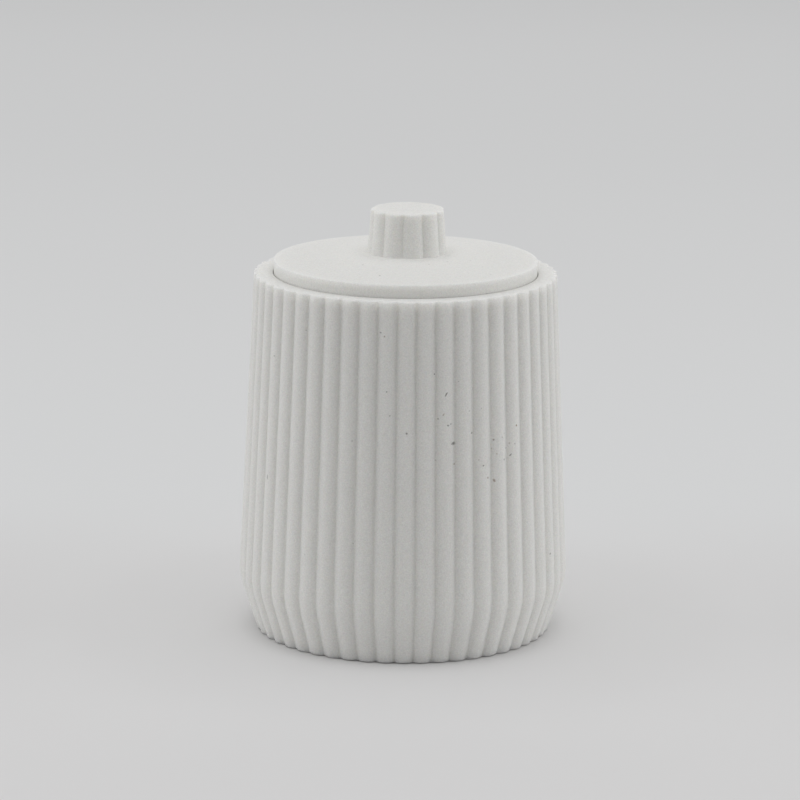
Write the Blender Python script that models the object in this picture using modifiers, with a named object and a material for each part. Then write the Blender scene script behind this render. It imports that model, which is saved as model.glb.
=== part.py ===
"""A small ribbed storage jar with an inset lid, a ribbed knob, a lid seal and a pad under its base.

Units are metres and +Z is up. The origin is on the jar's axis, on the surface that it stands on.
The jar flares from a narrow base to a rounded knee low down and then tapers to its rim. Convex ribs
run up its whole height and end in a scalloped edge at the base and at the rim.
"""

import math

import bmesh
import bpy
from mathutils import Matrix, Vector

# Jar body: radii are measured to the crests of the ribs
BODY_HEIGHT = 0.0989
RIM_RADIUS = 0.04125
KNEE_RADIUS = 0.04525
KNEE_HEIGHT = 0.0145
KNEE_ROUND = 0.0190
BASE_RADIUS = 0.0403
WALL = 0.00515
FLOOR = 0.0060
FLOOR_ROUND = 0.0045
RIM_EDGE = 0.0003
BASE_EDGE = 0.0004
MOUTH_EDGE = 0.0002

# Ribs of the jar body
RIB_COUNT = 50
RIB_DEPTH = 0.00085
RIB_TURN_SHARE = 0.573

# Ledge inside the mouth that carries the lid
LEDGE_DEPTH = 0.0026
LEDGE_WIDTH = 0.0033
LEDGE_HEIGHT = 0.0040
LEDGE_EDGE = 0.0004

# Pad stuck into a recess under the base
FOOT_WIDTH = 0.0046
PAD_THICKNESS = 0.0015
PAD_STAND = 0.0002

# Lid: a gently crowned disc, flat under the knob, with a locating ring under it
LID_CLEARANCE = 0.0004
LID_RISE = 0.0035
LID_CROWN = 0.00215
LID_TOP_EDGE = 0.0005
LID_EDGE = 0.0004
KNOB_SEAT_RADIUS = 0.0110
RING_CLEARANCE = 0.0008
RING_WALL = 0.0040
RING_LENGTH = 0.0082
RING_EDGE = 0.0008

# Seal with two lips, in a groove of the locating ring
GROOVE_TOP = 0.0010
GROOVE_DEPTH = 0.0016
SEAL_HEIGHT = 0.0026
LIP_HEIGHT = 0.0011
LIP_DEPTH = 0.0006
LIP_ROUND = 0.0003

# Knob with a tenon that is glued into the lid's socket
KNOB_HEIGHT = 0.01165
KNOB_BASE_RADIUS = 0.01055
KNOB_TOP_RADIUS = 0.00995
KNOB_TOP_EDGE = 0.0005
KNOB_BASE_EDGE = 0.0002
KNOB_RIB_COUNT = 11
KNOB_RIB_DEPTH = 0.00075
KNOB_RIB_TURN_SHARE = 0.51
TENON_RADIUS = 0.0050
TENON_LENGTH = 0.0028

# Clearance between pieces that lie against each other, and how far a cutter runs past what it cuts
SEAT_GAP = 0.0003
OVERRUN = 0.0010

# Facets
ROUND_STEPS = 64
RIB_FACETS = 6
KNOB_RIB_FACETS = 8
EDGE_STEPS = 2
HIDDEN_EDGE_STEPS = 1
KNEE_STEPS = 3
CROWN_STEPS = 3
MERGE_DISTANCE = 0.00001
SMOOTH_ANGLE = math.radians(28.0)

# Sizes that follow from the ones above
MOUTH_RADIUS = RIM_RADIUS - WALL
NECK_RADIUS = MOUTH_RADIUS - LEDGE_WIDTH
RECESS_RADIUS = BASE_RADIUS - FOOT_WIDTH
RECESS_DEPTH = PAD_THICKNESS - PAD_STAND + SEAT_GAP
LID_RADIUS = MOUTH_RADIUS - LID_CLEARANCE
LID_EDGE_HEIGHT = LEDGE_DEPTH + LID_RISE - SEAT_GAP
LID_THICKNESS = LID_EDGE_HEIGHT + LID_CROWN
RING_RADIUS = NECK_RADIUS - RING_CLEARANCE
GROOVE_RADIUS = RING_RADIUS - GROOVE_DEPTH
GROOVE_HEIGHT = SEAL_HEIGHT + 2 * SEAT_GAP

# Heights at which the pieces stand
LID_SEAT_Z = PAD_STAND + BODY_HEIGHT - LEDGE_DEPTH + SEAT_GAP
SEAL_Z = -GROOVE_TOP - GROOVE_HEIGHT / 2
KNOB_Z = LID_THICKNESS + SEAT_GAP


def clear_scene():
    for thing in list(bpy.data.objects):
        bpy.data.objects.remove(thing, do_unlink=True)


def new_collection(name):
    group = bpy.data.collections.new(name)
    bpy.context.scene.collection.children.link(group)
    return group


# Outlines: points of (radius, height) in the half plane beside the axis


def arc(centre, radius, start, end, steps):
    """Points along an arc from one angle to another, both ends included."""
    points = []
    for step in range(steps + 1):
        angle = start + (end - start) * step / steps
        points.append(centre + radius * Vector((math.cos(angle), math.sin(angle))))
    return points


def rounded(corners):
    """An outline through corners of (radius, height, rounding, steps), each rounded by an arc."""
    outline = []
    for index, (radius, height, rounding, steps) in enumerate(corners):
        corner = Vector((radius, height))
        if not rounding:
            outline.append(corner)
            continue
        following = corners[(index + 1) % len(corners)]
        back = (Vector(corners[index - 1][:2]) - corner).normalized()
        ahead = (Vector(following[:2]) - corner).normalized()
        half = back.angle(ahead) / 2
        centre = corner + (back + ahead).normalized() * rounding / math.sin(half)
        spoke = corner + back * rounding / math.tan(half) - centre
        start = math.atan2(spoke.y, spoke.x)
        sweep = math.copysign(math.pi - 2 * half, ahead.cross(back))
        outline.extend(arc(centre, rounding, start, start + sweep, steps))
    return outline


def crown_arc(inner, top, outer, foot):
    """Points along a dome's arc, centred on the axis, from its top circle down to its foot."""
    centre = (inner ** 2 + top ** 2 - outer ** 2 - foot ** 2) / (2 * (top - foot))
    start = math.atan2(top - centre, inner)
    end = math.atan2(foot - centre, outer)
    return arc(Vector((0, centre)), math.hypot(inner, top - centre), start, end, CROWN_STEPS)


def sharp(radius, height):
    return (radius, height, 0, 0)


def wall_radius(height):
    """Radius of the inner wall at a height above the knee, where it follows the outer taper."""
    share = (height - KNEE_HEIGHT) / (BODY_HEIGHT - KNEE_HEIGHT)
    return KNEE_RADIUS + (RIM_RADIUS - KNEE_RADIUS) * share - WALL


def foot_radius(height):
    """Radius of the inner wall at a height below the knee, where it slopes in to the floor."""
    share = height / KNEE_HEIGHT
    return BASE_RADIUS + (KNEE_RADIUS - BASE_RADIUS) * share - WALL


# Solids


def add_object(name, mesh, group):
    piece = bpy.data.objects.new(name, mesh)
    group.objects.link(piece)
    return piece


def turned(name, outline, group, closed=False):
    """Turn an outline, listed down its outer side, about the vertical axis."""
    edges = [(index, index + 1) for index in range(len(outline) - 1)]
    if closed:
        edges.append((len(outline) - 1, 0))
    mesh = bpy.data.meshes.new(name)
    mesh.from_pydata([(point.x, 0, point.y) for point in outline], edges, [])
    piece = add_object(name, mesh, group)
    screw = piece.modifiers.new("turn", "SCREW")
    screw.steps = ROUND_STEPS
    screw.render_steps = ROUND_STEPS
    screw.use_merge_vertices = True
    screw.merge_threshold = MERGE_DISTANCE
    return piece


def rib_radius(crest, depth, count, angle):
    """Distance from the axis to a convex rib, one arc from valley to valley, at an angle to its crest."""
    valley = crest - depth
    reach = valley * math.cos(math.pi / count)
    offset = (crest ** 2 - valley ** 2) / (2 * (crest - reach))
    return offset * math.cos(angle) + math.sqrt((crest - offset) ** 2 - (offset * math.sin(angle)) ** 2)


def ribbed(name, outline, depth, count, facets, turn_share, group):
    """A solid whose level sections are rings of convex ribs, drawn up along an outline from its foot."""
    pitch = math.tau / count
    form = bmesh.new()
    bmesh.ops.create_circle(form, cap_ends=True, radius=1, segments=count * facets)
    bmesh.ops.rotate(form, verts=form.verts[:], matrix=Matrix.Rotation(pitch * turn_share, 3, "Z"))
    top = form.faces[:][0]
    for level, (crest, height) in enumerate(outline):
        if level:
            drawn = bmesh.ops.extrude_face_region(form, geom=[top, *top.edges, *top.verts])
            top = [part for part in drawn["geom"] if isinstance(part, bmesh.types.BMFace)][0]
        for vert in top.verts:
            angle = math.atan2(vert.co.y, vert.co.x)
            share = angle / pitch - turn_share
            radius = rib_radius(crest, depth, count, pitch * (share - round(share)))
            vert.co = (radius * math.cos(angle), radius * math.sin(angle), height)
    bmesh.ops.recalc_face_normals(form, faces=form.faces[:])
    mesh = bpy.data.meshes.new(name)
    form.to_mesh(mesh)
    form.free()
    return add_object(name, mesh, group)


def cylinder(name, radius, low, high, group):
    form = bmesh.new()
    made = bmesh.ops.create_cone(
        form, cap_ends=True, segments=ROUND_STEPS, radius1=radius, radius2=radius, depth=high - low
    )
    bmesh.ops.translate(form, verts=made["verts"], vec=(0, 0, (low + high) / 2))
    mesh = bpy.data.meshes.new(name)
    form.to_mesh(mesh)
    form.free()
    return add_object(name, mesh, group)


def combine(piece, tool, operation):
    """Cut or join a piece with a tool that stays hidden among the cutters."""
    tool.hide_render = True
    tool.display_type = "WIRE"
    change = piece.modifiers.new(tool.name, "BOOLEAN")
    change.operation = operation
    change.object = tool
    change.solver = "EXACT"


def finish(piece, material):
    """Give a piece its evaluated form, smooth shading between sharp edges, and its material."""
    graph = bpy.context.evaluated_depsgraph_get()
    mesh = bpy.data.meshes.new_from_object(piece.evaluated_get(graph))
    piece.modifiers.clear()
    piece.data = mesh
    mesh.name = piece.name
    mesh.shade_smooth()
    mesh.set_sharp_from_angle(angle=SMOOTH_ANGLE)
    mesh.materials.clear()
    mesh.materials.append(material)


# Materials


def surface(name, colour, roughness):
    material = bpy.data.materials.new(name)
    material.use_nodes = True
    shader = material.node_tree.nodes["Principled BSDF"]
    shader.inputs["Base Color"].default_value = (*colour, 1.0)
    shader.inputs["Roughness"].default_value = roughness
    shader.inputs["Metallic"].default_value = 0.0
    material.diffuse_color = (*colour, 1.0)
    return material


def white_stoneware(name):
    return surface(name, (0.72, 0.72, 0.70), 0.85)


def clear_silicone(name):
    return surface(name, (0.62, 0.63, 0.62), 0.45)


def grey_foam(name):
    return surface(name, (0.20, 0.20, 0.20), 0.90)


# Pieces


def make_jar_body(group, cutters):
    """The ribbed shell, with the ledge in its mouth and the recess for the pad under its base."""
    corners = [
        sharp(0, 0),
        (BASE_RADIUS, 0, BASE_EDGE, EDGE_STEPS),
        (KNEE_RADIUS, KNEE_HEIGHT, KNEE_ROUND, KNEE_STEPS),
        (RIM_RADIUS, BODY_HEIGHT, RIM_EDGE, EDGE_STEPS),
        sharp(0, BODY_HEIGHT),
    ]
    outline = rounded(corners)[1:-1]
    body = ribbed("jar_body", outline, RIB_DEPTH, RIB_COUNT, RIB_FACETS, RIB_TURN_SHARE, group)
    combine(body, turned("jar_cavity", cavity_outline(), cutters), "DIFFERENCE")
    recess = cylinder("pad_recess", RECESS_RADIUS, -OVERRUN, RECESS_DEPTH, cutters)
    combine(body, recess, "DIFFERENCE")
    finish(body, white_stoneware("jar_body_stoneware"))
    body.location.z = PAD_STAND
    return body


def cavity_outline():
    """The hollow from above the rim down: the mouth, the ledge, its sloped underside, wall and floor."""
    brim = arc(
        Vector((MOUTH_RADIUS + MOUTH_EDGE, BODY_HEIGHT - MOUTH_EDGE)),
        MOUTH_EDGE, math.pi / 2, math.pi, EDGE_STEPS,
    )
    ledge_top = BODY_HEIGHT - LEDGE_DEPTH
    ledge_foot = ledge_top - LEDGE_HEIGHT
    slope_foot = ledge_foot - LEDGE_WIDTH
    lower = rounded([
        sharp(MOUTH_RADIUS, ledge_top + LEDGE_DEPTH),
        (MOUTH_RADIUS, ledge_top, LEDGE_EDGE, HIDDEN_EDGE_STEPS),
        (NECK_RADIUS, ledge_top, LEDGE_EDGE, HIDDEN_EDGE_STEPS),
        (NECK_RADIUS, ledge_foot, LEDGE_EDGE, HIDDEN_EDGE_STEPS),
        sharp(wall_radius(slope_foot), slope_foot),
        (KNEE_RADIUS - WALL, KNEE_HEIGHT, KNEE_ROUND - WALL, KNEE_STEPS),
        (foot_radius(FLOOR), FLOOR, FLOOR_ROUND, KNEE_STEPS),
        sharp(0, FLOOR),
    ])
    above = BODY_HEIGHT + OVERRUN
    return [Vector((0, above)), Vector((MOUTH_RADIUS + MOUTH_EDGE, above))] + brim + lower[1:]


def make_base_pad(group):
    pad = cylinder("base_pad", RECESS_RADIUS - SEAT_GAP, 0, PAD_THICKNESS, group)
    finish(pad, grey_foam("base_pad_foam"))
    return pad


def make_lid(group):
    """The disc and its locating ring, from the knob's socket out over the crown and down the ring."""
    groove_foot = -GROOVE_TOP - GROOVE_HEIGHT
    crown = crown_arc(KNOB_SEAT_RADIUS, LID_THICKNESS, LID_RADIUS, LID_EDGE_HEIGHT)
    outline = rounded([
        sharp(0, LID_THICKNESS - TENON_LENGTH),
        sharp(TENON_RADIUS + SEAT_GAP, LID_THICKNESS - TENON_LENGTH),
        sharp(TENON_RADIUS + SEAT_GAP, LID_THICKNESS),
        *[sharp(*point) for point in crown[:-1]],
        (LID_RADIUS, LID_EDGE_HEIGHT, LID_TOP_EDGE, EDGE_STEPS),
        (LID_RADIUS, 0, LID_EDGE, EDGE_STEPS),
        sharp(RING_RADIUS, 0),
        sharp(RING_RADIUS, -GROOVE_TOP),
        sharp(GROOVE_RADIUS, -GROOVE_TOP),
        sharp(GROOVE_RADIUS, groove_foot),
        sharp(RING_RADIUS, groove_foot),
        (RING_RADIUS, -RING_LENGTH, RING_EDGE, HIDDEN_EDGE_STEPS),
        (RING_RADIUS - RING_WALL, -RING_LENGTH, RING_EDGE, HIDDEN_EDGE_STEPS),
        (RING_RADIUS - RING_WALL, 0, RING_EDGE, HIDDEN_EDGE_STEPS),
        sharp(0, 0),
    ])
    lid = turned("lid", outline, group)
    finish(lid, white_stoneware("lid_stoneware"))
    return lid


def make_lid_seal(group):
    """A flat band round the groove with two blunt lips that reach out to the neck."""
    inner = GROOVE_RADIUS + SEAT_GAP
    outer = NECK_RADIUS - SEAT_GAP
    top = SEAL_HEIGHT / 2
    outline = rounded([
        sharp(inner, top),
        (outer, top, LIP_ROUND, HIDDEN_EDGE_STEPS),
        (outer, top - LIP_HEIGHT, LIP_ROUND, HIDDEN_EDGE_STEPS),
        sharp(outer - LIP_DEPTH, 0),
        (outer, LIP_HEIGHT - top, LIP_ROUND, HIDDEN_EDGE_STEPS),
        (outer, -top, LIP_ROUND, HIDDEN_EDGE_STEPS),
        sharp(inner, -top),
    ])
    seal = turned("lid_seal", outline, group, closed=True)
    finish(seal, clear_silicone("lid_seal_silicone"))
    return seal


def make_lid_knob(group, cutters):
    """The ribbed knob, narrower at its flat top, and the tenon under it."""
    outline = rounded([
        sharp(0, 0),
        (KNOB_BASE_RADIUS, 0, KNOB_BASE_EDGE, EDGE_STEPS),
        (KNOB_TOP_RADIUS, KNOB_HEIGHT, KNOB_TOP_EDGE, EDGE_STEPS),
        sharp(0, KNOB_HEIGHT),
    ])[1:-1]
    knob = ribbed(
        "lid_knob", outline, KNOB_RIB_DEPTH, KNOB_RIB_COUNT, KNOB_RIB_FACETS, KNOB_RIB_TURN_SHARE, group
    )
    combine(knob, cylinder("knob_tenon", TENON_RADIUS, -TENON_LENGTH, OVERRUN, cutters), "UNION")
    finish(knob, white_stoneware("lid_knob_stoneware"))
    return knob


def add_axis(name, height, group, parent=None):
    axis = bpy.data.objects.new(name, None)
    group.objects.link(axis)
    axis.location.z = height
    axis.parent = parent
    return axis


def main():
    clear_scene()
    jar = new_collection("storage_jar")
    cutters = new_collection("cutters")
    make_jar_body(jar, cutters)
    make_base_pad(jar)

    # The seal only lifts, and the lid with its knob turns on what lifts
    lift = add_axis("lid_lift_axis", LID_SEAT_Z, jar)
    turn = add_axis("lid_turn_axis", 0, jar, lift)
    seal = make_lid_seal(jar)
    seal.parent = lift
    seal.location.z = SEAL_Z
    lid = make_lid(jar)
    lid.parent = turn
    knob = make_lid_knob(jar, cutters)
    knob.parent = turn
    knob.location.z = KNOB_Z


main()
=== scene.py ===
"""Looks of the ribbed stoneware jar: fine meshes of its pieces, their finishes, the studio and the camera.

Units are metres and +Z is up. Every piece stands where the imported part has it, but for the knob, which
stands a little to the right.
"""

import math
from functools import reduce

import bmesh
import bpy
from mathutils import Matrix, Vector


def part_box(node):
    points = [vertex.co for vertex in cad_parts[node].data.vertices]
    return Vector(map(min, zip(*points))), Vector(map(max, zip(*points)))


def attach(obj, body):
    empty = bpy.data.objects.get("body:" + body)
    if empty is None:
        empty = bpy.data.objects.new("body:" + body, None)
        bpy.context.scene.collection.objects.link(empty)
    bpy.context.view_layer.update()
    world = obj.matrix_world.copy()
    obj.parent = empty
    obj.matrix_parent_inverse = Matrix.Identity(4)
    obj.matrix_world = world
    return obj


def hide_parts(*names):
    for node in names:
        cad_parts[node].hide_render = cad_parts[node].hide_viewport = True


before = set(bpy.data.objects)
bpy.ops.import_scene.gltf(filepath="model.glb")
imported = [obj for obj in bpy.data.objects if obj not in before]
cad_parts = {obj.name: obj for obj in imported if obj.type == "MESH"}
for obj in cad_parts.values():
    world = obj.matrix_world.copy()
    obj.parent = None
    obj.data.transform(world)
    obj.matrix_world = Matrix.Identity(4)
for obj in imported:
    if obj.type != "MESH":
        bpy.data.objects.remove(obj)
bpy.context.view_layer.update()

# Photograph: the point on the jar's axis that the camera was fitted to, and where it shows
PICTURE_SIZE = 800
AIM_PIXEL = (404.24, 410.20)
AIM_HEIGHT = 0.0604
FOCAL_PIXELS = 4000
CAMERA_DISTANCE = 1.0973
CAMERA_PITCH = math.radians(13.15)
CAMERA_ROLL = math.radians(0.5485)
SENSOR_WIDTH = 36
CLIP_START = 0.05
CLIP_END = 50

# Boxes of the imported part's pieces
body_low, body_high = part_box("jar_body")
lid_low, lid_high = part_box("lid")
knob_low, knob_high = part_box("lid_knob")
seal_low, seal_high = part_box("lid_seal")
pad_low, pad_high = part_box("base_pad")

# Jar body, with radii to the crests of the ribs and heights above its foot
FOOT_Z = body_low.z
RIM_Z = body_high.z
BODY_HEIGHT = RIM_Z - FOOT_Z
RIM_RADIUS = 0.04125
KNEE_RADIUS = 0.04522
KNEE_HEIGHT = 0.0145
KNEE_ROUND = 0.0190
BASE_RADIUS = 0.0405
WALL = 0.00515
FLOOR = 0.0060
FLOOR_ROUND = 0.0045
RIM_EDGE = 0.0003
RIM_RIB_SHARE = 0.75
BASE_EDGE = 0.0004
MOUTH_RADIUS = 0.0361
MOUTH_EDGE = 0.00015
LEDGE_DEPTH = 0.0026
LEDGE_HEIGHT = 0.0040
LEDGE_EDGE = 0.0004
NECK_RADIUS = 0.0328
CLEARANCE = 0.0003
RECESS_RADIUS = pad_high.x + CLEARANCE
RECESS_HEIGHT = pad_high.z + CLEARANCE - FOOT_Z

# Ribs of the body and the knob, turned by a share of the way from one rib to the next
RIB_COUNT = 50
RIB_DEPTH = 0.00085
RIB_TURN_SHARE = 0.573
VALLEY_ROUND = 0.0006
KNOB_RIB_COUNT = 11
KNOB_RIB_DEPTH = 0.00070
KNOB_RIB_TURN_SHARE = 0.51
KNOB_VALLEY_ROUND = 0.0002

# Lid, with its locating ring, the seal's groove and the knob's seat and socket
LID_RADIUS = 0.0359
LID_CROWN = 0.00215
LID_TOP_EDGE = 0.00025
LID_EDGE = 0.0004
DISC_THICKNESS = 0.0058
RING_RADIUS = 0.0320
RING_WALL = 0.0040
RING_EDGE = 0.0008
GROOVE_RADIUS = 0.0304
GROOVE_TOP = 0.0010
GROOVE_HEIGHT = 0.0032
SEAT_RADIUS = 0.0110
SOCKET_RADIUS = 0.0053
SOCKET_DEPTH = 0.0028

# Knob
KNOB_BASE_RADIUS = 0.01080
KNOB_TOP_RADIUS = 0.01000
KNOB_TOP_EDGE = 0.0008
KNOB_TOP_RIB_SHARE = 0.2
KNOB_FILLET = 0.0002
KNOB_GAP = 0.00002
KNOB_SHIFT = 0.00045
TENON_RADIUS = 0.0048

# Seal and pad
LIP_HEIGHT = 0.0011
LIP_DEPTH = 0.0006
LIP_EDGE = 0.00025
PAD_EDGE = 0.0003

# Fineness of the meshes
RIB_FACETS = 12
VALLEY_FACETS = 3
KNOB_RIB_FACETS = 24
KNOB_VALLEY_FACETS = 4
ROUND_STEPS = 256
EDGE_STEPS = 4
KNOB_EDGE_STEPS = 8
KNEE_STEPS = 12
FLOOR_STEPS = 6
CROWN_STEPS = 12
MERGE_DISTANCE = 0.000001
SMOOTH_ANGLE = math.radians(25)


# Outlines: points of (radius, height) beside the axis


def between(start, end, share):
    return start + (end - start) * share


def sharp(radius, height):
    """A corner that stays as it is."""
    return (radius, height, 0, 0)


def arc(centre, radius, start, end, steps):
    """Points along an arc, from a start angle to an end angle."""
    angles = [start + (end - start) * step / steps for step in range(steps + 1)]
    return [centre + radius * Vector((math.cos(angle), math.sin(angle))) for angle in angles]


def rounded(corners):
    """A closed outline through corners of (radius, height, rounding, steps), each rounded by an arc."""
    outline = []
    for index, (radius, height, rounding, steps) in enumerate(corners):
        corner = Vector((radius, height))
        if not rounding:
            outline.append(corner)
            continue
        following = corners[(index + 1) % len(corners)]
        back = (Vector(corners[index - 1][:2]) - corner).normalized()
        ahead = (Vector(following[:2]) - corner).normalized()
        half = back.angle(ahead) / 2
        centre = corner + (back + ahead).normalized() * rounding / math.sin(half)
        spoke = corner + back * rounding / math.tan(half) - centre
        start = math.atan2(spoke.y, spoke.x)
        sweep = math.copysign(math.pi - 2 * half, ahead.cross(back))
        outline.extend(arc(centre, rounding, start, start + sweep, steps))
    return outline


def crown_arc(start, end):
    """Points along a dome's arc, centred on the axis, between two points of (radius, height)."""
    (inner, top), (outer, foot) = start, end
    centre = (inner ** 2 + top ** 2 - outer ** 2 - foot ** 2) / (2 * (top - foot))
    reach = math.hypot(inner, top - centre)
    first = math.atan2(top - centre, inner)
    last = math.atan2(foot - centre, outer)
    return arc(Vector((0, centre)), reach, first, last, CROWN_STEPS)


# Sections: (crest radius, height, share of the ribs' depth), from the bottom of a form to its top


def ribbed(outline, last_share, steps):
    """Sections with whole ribs, which fade to a last share of their depth over the last steps."""
    last = len(outline) - 1
    return [
        (point.x, point.y, between(last_share, 1, min((last - step) / steps, 1)))
        for step, point in enumerate(outline)
    ]


def plain(outline):
    """Sections without ribs."""
    return [(point.x, point.y, 0) for point in outline]


# Meshes


class Ribs:
    """Convex ribs round an axis, each one arc, with a small concave arc in the valleys between them."""

    def __init__(self, count, depth, valley_round, turn_share, rib_facets, valley_facets):
        self.count = count
        self.pitch = math.tau / count
        self.depth = depth
        self.valley_round = valley_round
        self.turn = turn_share * math.tau / count
        self.rib_facets = rib_facets
        self.facets = rib_facets + 2 * valley_facets

    def corner(self, crest, step):
        """Bearing and distance from the axis of a facet's corner, counted round the form.

        The rib's arc is centred on the rib's middle line, at an offset from the axis, and the valley's arc on
        the valley's middle line. The two meet where they touch.
        """
        half = self.pitch / 2
        outer = crest + self.valley_round
        valley = outer - self.depth
        offset = (outer ** 2 - valley ** 2) / (2 * (outer - valley * math.cos(half)))
        away = Vector((valley * math.cos(half) - offset, valley * math.sin(half))).normalized()
        meeting = Vector((offset, 0)) + away * (crest - offset)
        meeting_bearing = math.atan2(meeting.y, meeting.x)
        rib, place = divmod(step, self.facets)
        side = place - self.facets / 2
        share = abs(side) / (self.rib_facets / 2)
        if share <= 1:
            bearing = meeting_bearing * share
            radius = offset * math.cos(bearing)
            radius += math.sqrt((crest - offset) ** 2 - (offset * math.sin(bearing)) ** 2)
        else:
            share = (abs(side) - self.rib_facets / 2) / (self.facets / 2 - self.rib_facets / 2)
            bearing = between(meeting_bearing, half, share)
            beyond = half - bearing
            radius = valley * math.cos(beyond)
            radius -= math.sqrt(self.valley_round ** 2 - (valley * math.sin(beyond)) ** 2)
        return self.turn + rib * self.pitch + math.copysign(bearing, side), radius


def drawn(name, sections, ribs):
    """A closed form: one flat face, drawn on from each section to the next."""
    form = bmesh.new()
    whole = ribs.count * ribs.facets
    bmesh.ops.create_circle(form, cap_ends=True, radius=1, segments=whole)
    step_of = form.verts.layers.int.new("step")
    for vert in form.verts:
        vert[step_of] = round(math.atan2(vert.co.y, vert.co.x) * whole / math.tau) % whole
    face = form.faces[:][0]
    for level, (crest, height, share) in enumerate(sections):
        if level:
            grown = bmesh.ops.extrude_face_region(form, geom=[face, *face.edges, *face.verts])
            face = next(part for part in grown["geom"] if isinstance(part, bmesh.types.BMFace))
        for vert in face.verts:
            bearing, radius = ribs.corner(crest, vert[step_of])
            radius = between(crest, radius, share)
            vert.co = (radius * math.cos(bearing), radius * math.sin(bearing), height)
    return settled(name, form)


def turned(name, outline, closed=False):
    """A form turned about the vertical axis from an outline."""
    form = bmesh.new()
    points = [form.verts.new((point.x, 0, point.y)) for point in outline]
    links = [form.edges.new(pair) for pair in zip(points, points[1:])]
    if closed:
        links.append(form.edges.new((points[-1], points[0])))
    bmesh.ops.spin(
        form, geom=points + links, cent=(0, 0, 0), axis=(0, 0, 1), angle=math.tau,
        steps=ROUND_STEPS, use_merge=True,
    )
    return settled(name, form)


def settled(name, form):
    """Make an object of a form, with its doubles merged, its faces outwards and its corners crisp."""
    bmesh.ops.remove_doubles(form, verts=form.verts[:], dist=MERGE_DISTANCE)
    bmesh.ops.recalc_face_normals(form, faces=form.faces[:])
    mesh = bpy.data.meshes.new(name)
    form.to_mesh(mesh)
    form.free()
    mesh.shade_smooth()
    mesh.set_sharp_from_angle(angle=SMOOTH_ANGLE)
    piece = bpy.data.objects.new(name, mesh)
    bpy.context.scene.collection.objects.link(piece)
    return piece


# Finishes


class Wire:
    """A socket whose sums with numbers and other wires add their own Math nodes."""

    def __init__(self, socket):
        self.socket = socket

    def maths(self, operation, *values):
        tree = self.socket.id_data
        node = tree.nodes.new("ShaderNodeMath")
        node.operation = operation
        for slot, value in zip(node.inputs, values):
            plug(tree, slot, value)
        return Wire(node.outputs[0])

    def __add__(self, other):
        return self.maths("ADD", self, other)

    __radd__ = __add__

    def __sub__(self, other):
        return self.maths("SUBTRACT", self, other)

    def __rsub__(self, other):
        return self.maths("SUBTRACT", other, self)

    def __mul__(self, other):
        return self.maths("MULTIPLY", self, other)

    __rmul__ = __mul__

    def above(self, other):
        return self.maths("GREATER_THAN", self, other)

    def most(self, other):
        return self.maths("MAXIMUM", self, other)

    def size(self):
        return self.maths("ABSOLUTE", self)


def plug(tree, slot, value):
    if isinstance(value, Wire):
        tree.links.new(value.socket, slot)
    else:
        slot.default_value = value


def spaced(values):
    """Values by socket, from keywords that have underscores for the spaces."""
    return {slot.replace("_", " "): value for slot, value in values.items()}


class Finish:
    """A material in the making; every node but the sums comes from add."""

    def __init__(self, name):
        self.material = bpy.data.materials.new(name)
        self.material.use_nodes = True
        self.tree = self.material.node_tree
        self.shader = self.tree.nodes["Principled BSDF"]
        self.output = self.tree.nodes["Material Output"]

    def add(self, kind, settings, values, output=0):
        """A node of a kind, its settings made before its sockets are filled, as one of its outputs."""
        node = self.tree.nodes.new("ShaderNode" + kind)
        for setting, value in settings.items():
            setattr(node, setting, value)
        for slot, value in values.items():
            plug(self.tree, node.inputs[slot], value)
        return Wire(node.outputs[output])

    def place(self):
        return self.add("TexCoord", {}, {}, "Object")

    def along(self, axis, place):
        return self.add("SeparateXYZ", {}, {"Vector": place}, axis)

    def from_axis(self, place):
        """How far a place is from the upright axis."""
        return self.vector("LENGTH", self.vector("MULTIPLY", place, (1, 1, 0)), output="Value")

    def noise(self, place, scale, detail, roughness, output="Fac"):
        values = {"Vector": place, "Scale": scale, "Detail": detail, "Roughness": roughness}
        return self.add("TexNoise", {"noise_dimensions": "3D"}, values, output)

    def vector(self, operation, *values, output="Vector"):
        return self.add("VectorMath", {"operation": operation}, dict(enumerate(values)), output)

    def ramp(self, value, low, high, start=0.0, end=1.0):
        """A smooth step from start to end while the value goes from low to high."""
        values = {"Value": value, "From Min": low, "From Max": high, "To Min": start, "To Max": end}
        return self.add("MapRange", {"interpolation_type": "SMOOTHSTEP"}, values)

    def blend(self, share, first, second):
        """A mix of two colours, which are the Mix node's sockets 6 and 7 and its output 2."""
        return self.add("Mix", {"data_type": "RGBA"}, {"Factor": share, 6: first, 7: second}, 2)

    def bump(self, height, distance, strength=1.0):
        return self.add("Bump", {}, {"Height": height, "Distance": distance, "Strength": strength})

    def speck(self, place, box):
        """A soft spot that fills a box of location, rotation and scale."""
        inside = self.add("Mapping", {"vector_type": "TEXTURE"}, {"Vector": place, **box})
        return self.ramp(self.vector("LENGTH", inside, output="Value"), SPECK_EDGE, SPECK_CORE)

    def wear(self, **values):
        """Fill the shader's sockets."""
        for slot, value in spaced(values).items():
            plug(self.tree, self.shader.inputs[slot], value)

    def mix_in(self, share, **values):
        """Show a second shader, with its own values, over a share of the surface."""
        second = self.add("BsdfPrincipled", {}, spaced(values))
        mixed = self.add("MixShader", {}, {0: share, 1: Wire(self.shader.outputs[0]), 2: second})
        plug(self.tree, self.output.inputs["Surface"], mixed)


# Stoneware: its colours, as linear light, how rough it is, and how far the grain changes that
CLAY = (0.800, 0.797, 0.772)
SPECK_GREY = (0.15, 0.145, 0.13, 1.0)
SPECK_BROWN = (0.27, 0.19, 0.12, 1.0)
CLAY_ROUGHNESS = 0.85
CLAY_ROUGHNESS_CHANGE = 0.1
CLAY_IOR = 1.4

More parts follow.
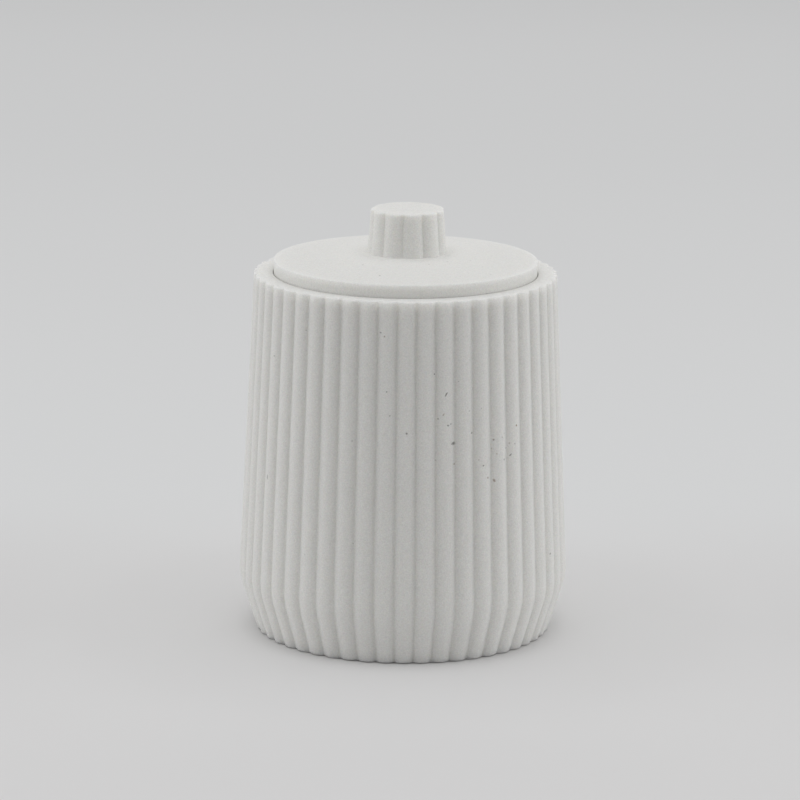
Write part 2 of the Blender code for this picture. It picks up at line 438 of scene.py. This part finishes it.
# Noises of all finishes: their scale in turns per metre, their detail and their roughness
MOTTLE_NOISE = (45, 3.0, 0.5)
GRAIN_NOISE = (1100, 2.0, 0.6)
SAND_NOISE = (2900, 1.0, 0.5)
COARSE_NOISE = (450, 1.0, 0.5)
TINT_NOISE = (1500, 1.0, 0.5)
BLOOM_NOISE = (300, 3.0, 0.5)
FOAM_NOISE = (1800, 4.0, 0.6)
NOISE_MIDDLE = 0.5
NOISE_RANGE = (0.3, 0.7)

# How far the noises change the stoneware's lightness and tint, and their shares of its relief
MOTTLE = 0.020
GRAIN = 0.085
SAND = 0.270
TINT = 0.065
COARSE_RELIEF_SHARE = 0.45
GRAIN_RELIEF_SHARE = 0.4
SAND_RELIEF_SHARE = 0.15
RELIEF_DEPTH = 0.00018

# Random flecks: cells per metre, the share of them that stays clear, and lengths measured in cells
FLECK_CELLS = 230
CLEAR_SHARE = 0.88
FLECK_RADIUS = 0.05
FLECK_CORE_SHARE = 0.3
FLECK_UNEVENNESS = 0.05
FLECK_STRENGTH = 0.4

# Given specks: where they fade out and where they are full, measured in half their width, and how far they
# reach into the clay
SPECK_EDGE = 1.25
SPECK_CORE = 0.45
SPECK_REACH = 0.002
SPECK_UNEVENNESS = 0.0003
LID_SPECK_RADIUS = 0.0003
MILLIMETRES = 1000

# Painted light and shade in the clay's colour, against the lid's: the knob painted lighter, the body's rim
# painted a little darker, the wall just below it painted darker still, and less so at its knee
KNOB_PAINTED_LIGHT = 1.025
RIM_PAINTED_SHADE = 0.97
WALL_TOP_PAINTED_SHADE = 0.93
WALL_KNEE_PAINTED_SHADE = 0.975
WALL_PAINTED_SHADE_FADE = 0.003

# Light that sinks into the clay and spreads, by colour, but not near a seam, and how much lighter the clay is
# painted there, standing in for the light that would scatter through the join
SCATTER_LENGTH = 0.0045
KNOB_SCATTER_LENGTH = 0.0022
SCATTER_COLOUR = (1.0, 0.97, 0.93)
SEAM_REACH = 0.0022
SEAM_CORE_SHARE = 0.3
LID_SEAM = (MOUTH_RADIUS, RIM_Z)
LID_SEAM_PAINTED_LIGHT = 1.055
KNOB_SEAM = (KNOB_BASE_RADIUS, lid_high.z)
KNOB_SEAM_PAINTED_LIGHT = 1.03

# Silicone and foam rubber
SILICONE_DARK = (0.56, 0.57, 0.56, 1.0)
SILICONE_PALE = (0.66, 0.67, 0.66, 1.0)
SILICONE_ROUGHNESS = (0.38, 0.52)
SILICONE_IOR = 1.41
SILICONE_SCATTER_SHARE = 0.25
SILICONE_SCATTER = (0.002, 0.002, 0.002)
FOAM_DARK = (0.12, 0.12, 0.12, 1.0)
FOAM_PALE = (0.22, 0.22, 0.215, 1.0)
FOAM_ROUGHNESS = (0.8, 0.95)
FOAM_RELIEF_DEPTH = 0.0002
FOAM_RELIEF_STRENGTH = 0.6

# Specks that show in the photograph: bearing to the right of its front in degrees, height above the table,
# half width and half length in millimetres, lean to the right in degrees, and strength
GREY_SPECKS = (
    (18.2, 61.2, 0.64, 0.56, 0, 0.76),
    (17.4, 61.1, 0.25, 0.21, 0, 0.55),
    (15.3, 74.6, 0.22, 0.71, 32, 0.77),
    (11.1, 80.0, 0.25, 0.25, 0, 0.72),
    (12.4, 68.0, 0.25, 0.23, 0, 0.50),
    (16.0, 66.2, 0.34, 0.23, 0, 0.66),
    (17.0, 66.5, 0.25, 0.23, 0, 0.55),
    (24.2, 69.7, 0.23, 0.23, 0, 0.33),
    (25.3, 63.6, 0.28, 0.32, 0, 0.61),
    (33.6, 58.7, 0.23, 0.23, 0, 0.33),
    (40.1, 58.2, 0.30, 0.28, 0, 0.55),
    (43.5, 59.1, 0.23, 0.23, 0, 0.33),
    (41.8, 56.2, 0.23, 0.51, 35, 0.61),
    (38.6, 55.3, 0.28, 0.28, 0, 0.50),
    (39.0, 62.4, 0.21, 0.21, 0, 0.33),
    (29.5, 54.6, 0.28, 0.25, 0, 0.61),
    (27.8, 56.2, 0.21, 0.21, 0, 0.33),
    (20.1, 77.8, 0.21, 0.21, 0, 0.33),
    (28.9, 70.1, 0.21, 0.21, 0, 0.28),
    (-57.2, 47.3, 0.30, 0.75, 0, 0.44),
    (-18.7, 61.6, 0.23, 0.23, 0, 0.33),
    (-8.8, 91.1, 0.25, 0.23, 0, 0.55),
    (-6.2, 75.4, 0.25, 0.25, 0, 0.50),
    (-5.0, 69.0, 0.23, 0.23, 0, 0.44),
    (-56.2, 80.7, 0.28, 0.25, 0, 0.44),
    (1.1, 64.3, 0.31, 0.28, 0, 0.66),
    (64.1, 25.5, 0.30, 0.28, 0, 0.50),
)
BROWN_SPECKS = (
    (14.3, 69.2, 0.21, 0.46, 35, 0.44),
    (34.2, 61.1, 0.28, 0.28, 0, 0.61),
    (35.3, 57.2, 0.23, 0.23, 0, 0.39),
    (41.4, 59.4, 0.23, 0.23, 0, 0.39),
    (44.5, 63.9, 0.34, 0.30, 0, 0.77),
    (37.7, 61.5, 0.21, 0.21, 0, 0.39),
    (18.5, 55.6, 0.28, 0.30, 0, 0.55),
    (31.4, 51.1, 0.30, 0.30, 0, 0.55),
    (34.3, 50.0, 0.30, 0.55, -35, 0.61),
    (-7.3, 90.1, 0.28, 0.28, 0, 0.55),
    (16.8, 3.7, 0.34, 0.32, 0, 0.55),
)

# Specks on the lid's top: bearing, distance from the axis in millimetres, and strength
LID_SPECKS = (
    (-13.8, 28.1, 0.65),
    (-34.5, 20.0, 0.45),
    (21.8, 17.2, 0.35),
    (43.3, 16.5, 0.30),
    (39.2, 18.9, 0.25),
    (61.9, 20.0, 0.30),
    (45.7, 31.9, 0.16),
    (53.4, 25.8, 0.20),
)


def wall_speck(bearing, height, half_width, half_length, lean):
    """Where a speck lies in the body's wall, how it turns and how far it reaches, for a Mapping node."""
    turn = math.radians(bearing)
    height /= MILLIMETRES
    wall = between(KNEE_RADIUS, RIM_RADIUS, (height - KNEE_HEIGHT) / (BODY_HEIGHT - KNEE_HEIGHT))
    return {
        "Location": (wall * math.sin(turn), -wall * math.cos(turn), height),
        "Rotation": (0, math.radians(lean), turn),
        "Scale": (half_width / MILLIMETRES, SPECK_REACH, half_length / MILLIMETRES),
    }


def lid_speck(bearing, distance):
    """The same for a round speck on the lid's crown."""
    turn = math.radians(bearing)
    distance /= MILLIMETRES
    drop = (distance ** 2 - SEAT_RADIUS ** 2) / (LID_RADIUS ** 2 - SEAT_RADIUS ** 2)
    return {
        "Location": (distance * math.sin(turn), -distance * math.cos(turn), lid_high.z - LID_CROWN * drop),
        "Rotation": (0, 0, turn),
        "Scale": (LID_SPECK_RADIUS, LID_SPECK_RADIUS, SPECK_REACH),
    }


def boxed(specks, box_of):
    """Each speck's box with its strength."""
    return [(box_of(*measures), strength) for *measures, strength in specks]


def flecked(finish, colour, place, grain):
    """A colour with random flecks, in a few of many cells."""
    cells = {"Vector": place, "Scale": FLECK_CELLS}
    distance = finish.add("TexVoronoi", {"feature": "F1"}, cells, "Distance")
    chance = finish.add("TexVoronoi", {"feature": "F1"}, cells, "Color")
    chosen = finish.add("SeparateColor", {}, {"Color": chance}, "Red").above(CLEAR_SHARE)
    distance += (grain - NOISE_MIDDLE) * FLECK_UNEVENNESS
    fleck = finish.ramp(distance, FLECK_RADIUS, FLECK_RADIUS * FLECK_CORE_SHARE) * chosen
    return finish.blend(fleck * FLECK_STRENGTH, colour, SPECK_GREY)


def specked(finish, colour, place, boxes, shade):
    """A colour with specks of another shade in the given boxes."""
    if not boxes:
        return colour
    masks = [finish.speck(place, box) * strength for box, strength in boxes]
    return finish.blend(reduce(Wire.most, masks), colour, shade)


def painted_wall_shade(finish, colour, height):
    """The body's colour with painted shade: lightest on the rim, darkest just below it, less dark towards the
    knee.
    """
    wall = finish.ramp(height, RIM_Z, KNEE_HEIGHT, WALL_TOP_PAINTED_SHADE, WALL_KNEE_PAINTED_SHADE)
    fade = finish.ramp(height, RIM_Z, RIM_Z - WALL_PAINTED_SHADE_FADE)
    return finish.vector("MULTIPLY", colour, RIM_PAINTED_SHADE - (RIM_PAINTED_SHADE - wall) * fade)


def near_seams(finish, place, height, seams):
    """Where a place is near one of the seams."""
    radius = finish.from_axis(place)
    core = SEAM_REACH * SEAM_CORE_SHARE
    masks = [
        finish.ramp((radius - across).size().most((height - up).size()), SEAM_REACH, core)
        for across, up in seams
    ]
    return reduce(Wire.most, masks)


def stoneware(
    name, seams, seam_painted_light=1.0, lightness=1.0, scatter=SCATTER_LENGTH,
    with_painted_wall_shade=False, grey_boxes=(), brown_boxes=(),
):
    """White unglazed clay: faint mottling, a fine sandy grain, a few random flecks and the given specks.
    Painted light and shade go into its colour where asked: the knob painted lighter, the body's wall painted
    darker below its rim, and the clay beside the seams painted lighter.

    Light sinks in and spreads, but not beside seams, circles of (radius, height) where pieces meet: there it
    would be lost on faces that no light reaches.
    """
    finish = Finish(name)
    place = finish.place()
    mottle = finish.noise(place, *MOTTLE_NOISE)
    grain = finish.noise(place, *GRAIN_NOISE)
    sand = finish.noise(place, *SAND_NOISE)
    coarse = finish.noise(place, *COARSE_NOISE)
    tint = finish.noise(place, *TINT_NOISE, "Color")
    # The lightness starts at the painted light given, which is above one only on the knob, and the noises
    # change it.
    for noise, change in ((mottle, MOTTLE), (grain, GRAIN), (sand, SAND)):
        lightness = lightness + (noise - NOISE_MIDDLE) * change
    tinted = finish.vector("MULTIPLY_ADD", tint, (TINT,) * 3, (1 - TINT / 2,) * 3)
    colour = finish.vector("MULTIPLY", finish.vector("MULTIPLY", tinted, CLAY), lightness)
    colour = flecked(finish, colour, place, grain)
    uneven = finish.vector("MULTIPLY_ADD", tint, (SPECK_UNEVENNESS,) * 3, place)
    colour = specked(finish, colour, uneven, grey_boxes, SPECK_GREY)
    colour = specked(finish, colour, uneven, brown_boxes, SPECK_BROWN)
    height = finish.along("Z", place)
    # Painted shade on the body's wall, darkest just below its rim.
    if with_painted_wall_shade:
        colour = painted_wall_shade(finish, colour, height)
    relief = coarse * COARSE_RELIEF_SHARE + grain * GRAIN_RELIEF_SHARE + sand * SAND_RELIEF_SHARE
    surface = {
        "Roughness": CLAY_ROUGHNESS + (grain - NOISE_MIDDLE) * CLAY_ROUGHNESS_CHANGE,
        "Normal": finish.bump(relief, RELIEF_DEPTH),
        "IOR": CLAY_IOR,
    }
    finish.wear(
        Base_Color=colour,
        **surface,
        Subsurface_Weight=1.0,
        Subsurface_Radius=SCATTER_COLOUR,
        Subsurface_Scale=scatter,
    )
    # Beside the seams the clay is painted lighter, standing in for light scattered through the join.
    seam_painted_colour = finish.vector("MULTIPLY", colour, (seam_painted_light,) * 3)
    finish.mix_in(near_seams(finish, place, height, seams), Base_Color=seam_painted_colour, **surface)
    return finish.material


def silicone(name):
    """Milky soft silicone with a faint bloom."""
    finish = Finish(name)
    bloom = finish.noise(finish.place(), *BLOOM_NOISE)
    finish.wear(
        Base_Color=finish.blend(bloom, SILICONE_DARK, SILICONE_PALE),
        Roughness=finish.ramp(bloom, *NOISE_RANGE, *SILICONE_ROUGHNESS),
        Subsurface_Weight=SILICONE_SCATTER_SHARE,
        Subsurface_Radius=SILICONE_SCATTER,
        Subsurface_Scale=1.0,
        IOR=SILICONE_IOR,
    )
    return finish.material


def pad_rubber(name):
    """Dark grey foam rubber with a fine open grain."""
    finish = Finish(name)
    grain = finish.noise(finish.place(), *FOAM_NOISE)
    finish.wear(
        Base_Color=finish.blend(grain, FOAM_DARK, FOAM_PALE),
        Roughness=finish.ramp(grain, *NOISE_RANGE, *FOAM_ROUGHNESS),
        Normal=finish.bump(grain, FOAM_RELIEF_DEPTH, FOAM_RELIEF_STRENGTH),
    )
    return finish.material


# Pieces


def dress(piece, material, body, node):
    """Give a piece its material, the body that it rides on and the node that it replaces."""
    piece.data.materials.append(material)
    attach(piece, body)
    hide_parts(node)


def make_body():
    """The shell in one skin: from the recess in its base over the ribs and the rim to the inner floor."""
    outside = rounded([
        sharp(0, 0),
        (BASE_RADIUS, 0, BASE_EDGE, EDGE_STEPS),
        (KNEE_RADIUS, KNEE_HEIGHT, KNEE_ROUND, KNEE_STEPS),
        (RIM_RADIUS, BODY_HEIGHT, RIM_EDGE, EDGE_STEPS),
        sharp(0, BODY_HEIGHT),
    ])[1:-1]
    ledge_top = BODY_HEIGHT - LEDGE_DEPTH
    ledge_foot = ledge_top - LEDGE_HEIGHT
    slope_foot = ledge_foot - (MOUTH_RADIUS - NECK_RADIUS)
    slope_share = (slope_foot - KNEE_HEIGHT) / (BODY_HEIGHT - KNEE_HEIGHT)
    floor_share = FLOOR / KNEE_HEIGHT
    inside = rounded([
        sharp(RIM_RADIUS, BODY_HEIGHT),
        (MOUTH_RADIUS, BODY_HEIGHT, MOUTH_EDGE, EDGE_STEPS),
        (MOUTH_RADIUS, ledge_top, LEDGE_EDGE, EDGE_STEPS),
        (NECK_RADIUS, ledge_top, LEDGE_EDGE, EDGE_STEPS),
        (NECK_RADIUS, ledge_foot, LEDGE_EDGE, EDGE_STEPS),
        (between(KNEE_RADIUS, RIM_RADIUS, slope_share) - WALL, slope_foot, LEDGE_EDGE, EDGE_STEPS),
        (KNEE_RADIUS - WALL, KNEE_HEIGHT, KNEE_ROUND - WALL, KNEE_STEPS),
        (between(BASE_RADIUS, KNEE_RADIUS, floor_share) - WALL, FLOOR, FLOOR_ROUND, FLOOR_STEPS),
        sharp(0, FLOOR),
    ])[1:-1]
    recess = [(RECESS_RADIUS, RECESS_HEIGHT, 0), (RECESS_RADIUS, 0, 0)]
    sections = recess + ribbed(outside, RIM_RIB_SHARE, EDGE_STEPS) + plain(inside)
    sections = [(radius, FOOT_Z + height, share) for radius, height, share in sections]
    ribs = Ribs(RIB_COUNT, RIB_DEPTH, VALLEY_ROUND, RIB_TURN_SHARE, RIB_FACETS, VALLEY_FACETS)
    body = drawn("ribbed_body", sections, ribs)
    greys = boxed(GREY_SPECKS, wall_speck)
    browns = boxed(BROWN_SPECKS, wall_speck)
    clay = stoneware("body_stoneware", [LID_SEAM], with_painted_wall_shade=True, grey_boxes=greys, brown_boxes=browns)
    dress(body, clay, "jar", "jar_body")


def make_lid():
    """The disc with its locating ring, the seal's groove and the knob's socket."""
    seat = lid_high.z
    edge = seat - LID_CROWN
    disc = edge - DISC_THICKNESS
    groove_top = disc - GROOVE_TOP
    groove_foot = groove_top - GROOVE_HEIGHT
    crown = crown_arc((SEAT_RADIUS, seat), (LID_RADIUS, edge))
    outline = rounded([
        sharp(0, seat - SOCKET_DEPTH),
        sharp(SOCKET_RADIUS, seat - SOCKET_DEPTH),
        sharp(SOCKET_RADIUS, seat),
        *[sharp(*point) for point in crown[:-1]],
        (LID_RADIUS, edge, LID_TOP_EDGE, EDGE_STEPS),
        (LID_RADIUS, disc, LID_EDGE, EDGE_STEPS),
        sharp(RING_RADIUS, disc),
        sharp(RING_RADIUS, groove_top),
        sharp(GROOVE_RADIUS, groove_top),
        sharp(GROOVE_RADIUS, groove_foot),
        sharp(RING_RADIUS, groove_foot),
        (RING_RADIUS, lid_low.z, RING_EDGE, EDGE_STEPS),
        (RING_RADIUS - RING_WALL, lid_low.z, RING_EDGE, EDGE_STEPS),
        (RING_RADIUS - RING_WALL, disc, RING_EDGE, EDGE_STEPS),
        sharp(0, disc),
    ])
    lid = turned("lid_disc", outline)
    specks = boxed(LID_SPECKS, lid_speck)
    clay = stoneware("lid_stoneware", [LID_SEAM, KNOB_SEAM], LID_SEAM_PAINTED_LIGHT, grey_boxes=specks)
    dress(lid, clay, "lid_and_knob", "lid")


def make_knob():
    """The ribbed knob on its tenon, drawn up from the tenon's end."""
    base = lid_high.z + KNOB_GAP
    outline = rounded([
        sharp(KNOB_BASE_RADIUS + KNOB_FILLET, base),
        (KNOB_BASE_RADIUS, base, KNOB_FILLET, EDGE_STEPS),
        (KNOB_TOP_RADIUS, knob_high.z, KNOB_TOP_EDGE, KNOB_EDGE_STEPS),
        sharp(0, knob_high.z),
    ])[1:-1]
    tenon = [(TENON_RADIUS, knob_low.z, 0), (TENON_RADIUS, base, 0)]
    sections = tenon + ribbed(outline, KNOB_TOP_RIB_SHARE, KNOB_EDGE_STEPS)
    ribs = Ribs(
        KNOB_RIB_COUNT, KNOB_RIB_DEPTH, KNOB_VALLEY_ROUND, KNOB_RIB_TURN_SHARE,
        KNOB_RIB_FACETS, KNOB_VALLEY_FACETS,
    )
    knob = drawn("ribbed_knob", sections, ribs)
    knob.data.transform(Matrix.Translation((KNOB_SHIFT, 0, 0)))
    # The knob's clay is painted lighter all over, standing in for light on its sides.
    clay = stoneware("knob_stoneware", [KNOB_SEAM], KNOB_SEAM_PAINTED_LIGHT, KNOB_PAINTED_LIGHT, KNOB_SCATTER_LENGTH)
    dress(knob, clay, "lid_and_knob", "lid_knob")


def make_seal():
    """A band in the lid's groove with two blunt lips that reach out to the neck."""
    inner = GROOVE_RADIUS + CLEARANCE
    outer = seal_high.x
    middle = (seal_low.z + seal_high.z) / 2
    outline = rounded([
        sharp(inner, seal_high.z),
        (outer, seal_high.z, LIP_EDGE, EDGE_STEPS),
        (outer, seal_high.z - LIP_HEIGHT, LIP_EDGE, EDGE_STEPS),
        (outer - LIP_DEPTH, middle, LIP_EDGE / 2, EDGE_STEPS),
        (outer, seal_low.z + LIP_HEIGHT, LIP_EDGE, EDGE_STEPS),
        (outer, seal_low.z, LIP_EDGE, EDGE_STEPS),
        sharp(inner, seal_low.z),
    ])
    seal = turned("seal_ring", outline, closed=True)
    dress(seal, silicone("seal_silicone"), "seal_ring", "lid_seal")


def make_pad():
    """The round pad in the base's recess."""
    outline = rounded([
        sharp(0, pad_high.z),
        (pad_high.x, pad_high.z, PAD_EDGE, EDGE_STEPS),
        (pad_high.x, pad_low.z, PAD_EDGE, EDGE_STEPS),
        sharp(0, pad_low.z),
    ])
    pad = turned("foot_pad", outline)
    dress(pad, pad_rubber("pad_rubber"), "jar", "base_pad")


# Studio

# Floor paper: its colour in front, and bands of depth with the colour that each leads to, painted light and
# shade that shape the light over the floor, with a painted shadow band at the jar's depth; and painted light
# round the foot that lightens the jar's contact shadow
FLOOR_REACH = 6.0
FLOOR_FRONT = (0.758, 0.754, 0.756, 1.0)
FLOOR_PAINTED_LIGHT_BANDS = (
    (-0.09, 0.01, (0.743, 0.739, 0.741, 1.0)),
    (0.04, 0.15, (0.763, 0.769, 0.773, 1.0)),
    (0.2, 0.5, (0.756, 0.760, 0.763, 1.0)),
    (0.7, 1.2, (0.786, 0.789, 0.792, 1.0)),
)
FLOOR_FOOT_PAINTED_LIGHT = (0.795, 0.791, 0.793, 1.0)
FOOT_PAINTED_LIGHT_REACH = 0.090

# Soft boxes: name, place, width, height and power
LAMPS = (
    ("left_box", (-1.1, 0, 0.28), 1.2, 0.5, 3.02),
    ("right_box", (1.1, 0, 0.28), 1.2, 0.5, 3.18),
    ("top_box", (0, -0.05, 3.0), 3.2, 3.2, 48.5),
    ("back_box", (0, 1.5, 1.3), 1.6, 1.0, 1.5),
)
LAMP_AIM = (0, 0, 0.05)
AMBIENT_LIGHT = (1.0, 1.0, 1.0, 1.0)
AMBIENT_STRENGTH = 0.31


def make_floor():
    form = bmesh.new()
    bmesh.ops.create_grid(form, x_segments=1, y_segments=1, size=FLOOR_REACH)
    floor = settled("studio_floor", form)
    finish = Finish("floor_paper")
    place = finish.place()
    depth = finish.along("Y", place)
    colour = FLOOR_FRONT
    # Painted light and shade by depth, with a painted shadow band at the jar's depth.
    for start, end, shade in FLOOR_PAINTED_LIGHT_BANDS:
        colour = finish.blend(finish.ramp(depth, start, end), colour, shade)
    # Painted light round the foot, lightening the jar's contact shadow.
    beside = finish.ramp(finish.from_axis(place), FOOT_PAINTED_LIGHT_REACH, BASE_RADIUS)
    colour = finish.blend(beside, colour, FLOOR_FOOT_PAINTED_LIGHT)
    finish.wear(Base_Color=colour, Roughness=1.0, Specular_IOR_Level=0.0)
    floor.data.materials.append(finish.material)


def add_lamp(name, place, width, height, power):
    lamp = bpy.data.lights.new(name, "AREA")
    lamp.shape = "RECTANGLE"
    lamp.size = width
    lamp.size_y = height
    lamp.energy = power
    holder = bpy.data.objects.new(name, lamp)
    holder.location = place
    holder.rotation_euler = (Vector(LAMP_AIM) - Vector(place)).to_track_quat("-Z", "Y").to_euler()
    bpy.context.scene.collection.objects.link(holder)


def light_studio():
    world = bpy.data.worlds.new("studio_light")
    world.use_nodes = True
    sky = world.node_tree.nodes["Background"]
    sky.inputs["Color"].default_value = AMBIENT_LIGHT
    sky.inputs["Strength"].default_value = AMBIENT_STRENGTH
    bpy.context.scene.world = world
    for lamp in LAMPS:
        add_lamp(*lamp)
    bpy.context.scene.view_settings.view_transform = "Standard"


def place_camera():
    """Stand the camera where the fit puts it: the aim point shows at its pixel, and the picture leans."""
    camera = bpy.data.cameras.new("camera")
    camera.sensor_fit = "HORIZONTAL"
    camera.sensor_width = SENSOR_WIDTH
    camera.lens = FOCAL_PIXELS * SENSOR_WIDTH / PICTURE_SIZE
    camera.clip_start = CLIP_START
    camera.clip_end = CLIP_END
    forward = Vector((0, math.cos(CAMERA_PITCH), -math.sin(CAMERA_PITCH)))
    up = Vector((0, math.sin(CAMERA_PITCH), math.cos(CAMERA_PITCH)))
    right = Vector((1, 0, 0))
    shown = Vector(AIM_PIXEL) - Vector((PICTURE_SIZE / 2, PICTURE_SIZE / 2))
    shown.rotate(Matrix.Rotation(-CAMERA_ROLL, 2))
    per_pixel = CAMERA_DISTANCE / FOCAL_PIXELS
    aim = Vector((0, 0, AIM_HEIGHT))
    holder = bpy.data.objects.new("camera", camera)
    holder.location = aim - forward * CAMERA_DISTANCE - right * shown.x * per_pixel + up * shown.y * per_pixel
    axes = Matrix((right, up, -forward)).transposed()
    holder.rotation_euler = (axes @ Matrix.Rotation(CAMERA_ROLL, 3, "Z")).to_euler()
    bpy.context.scene.collection.objects.link(holder)
    bpy.context.scene.camera = holder


make_body()
make_lid()
make_knob()
make_seal()
make_pad()
make_floor()
light_studio()
place_camera()
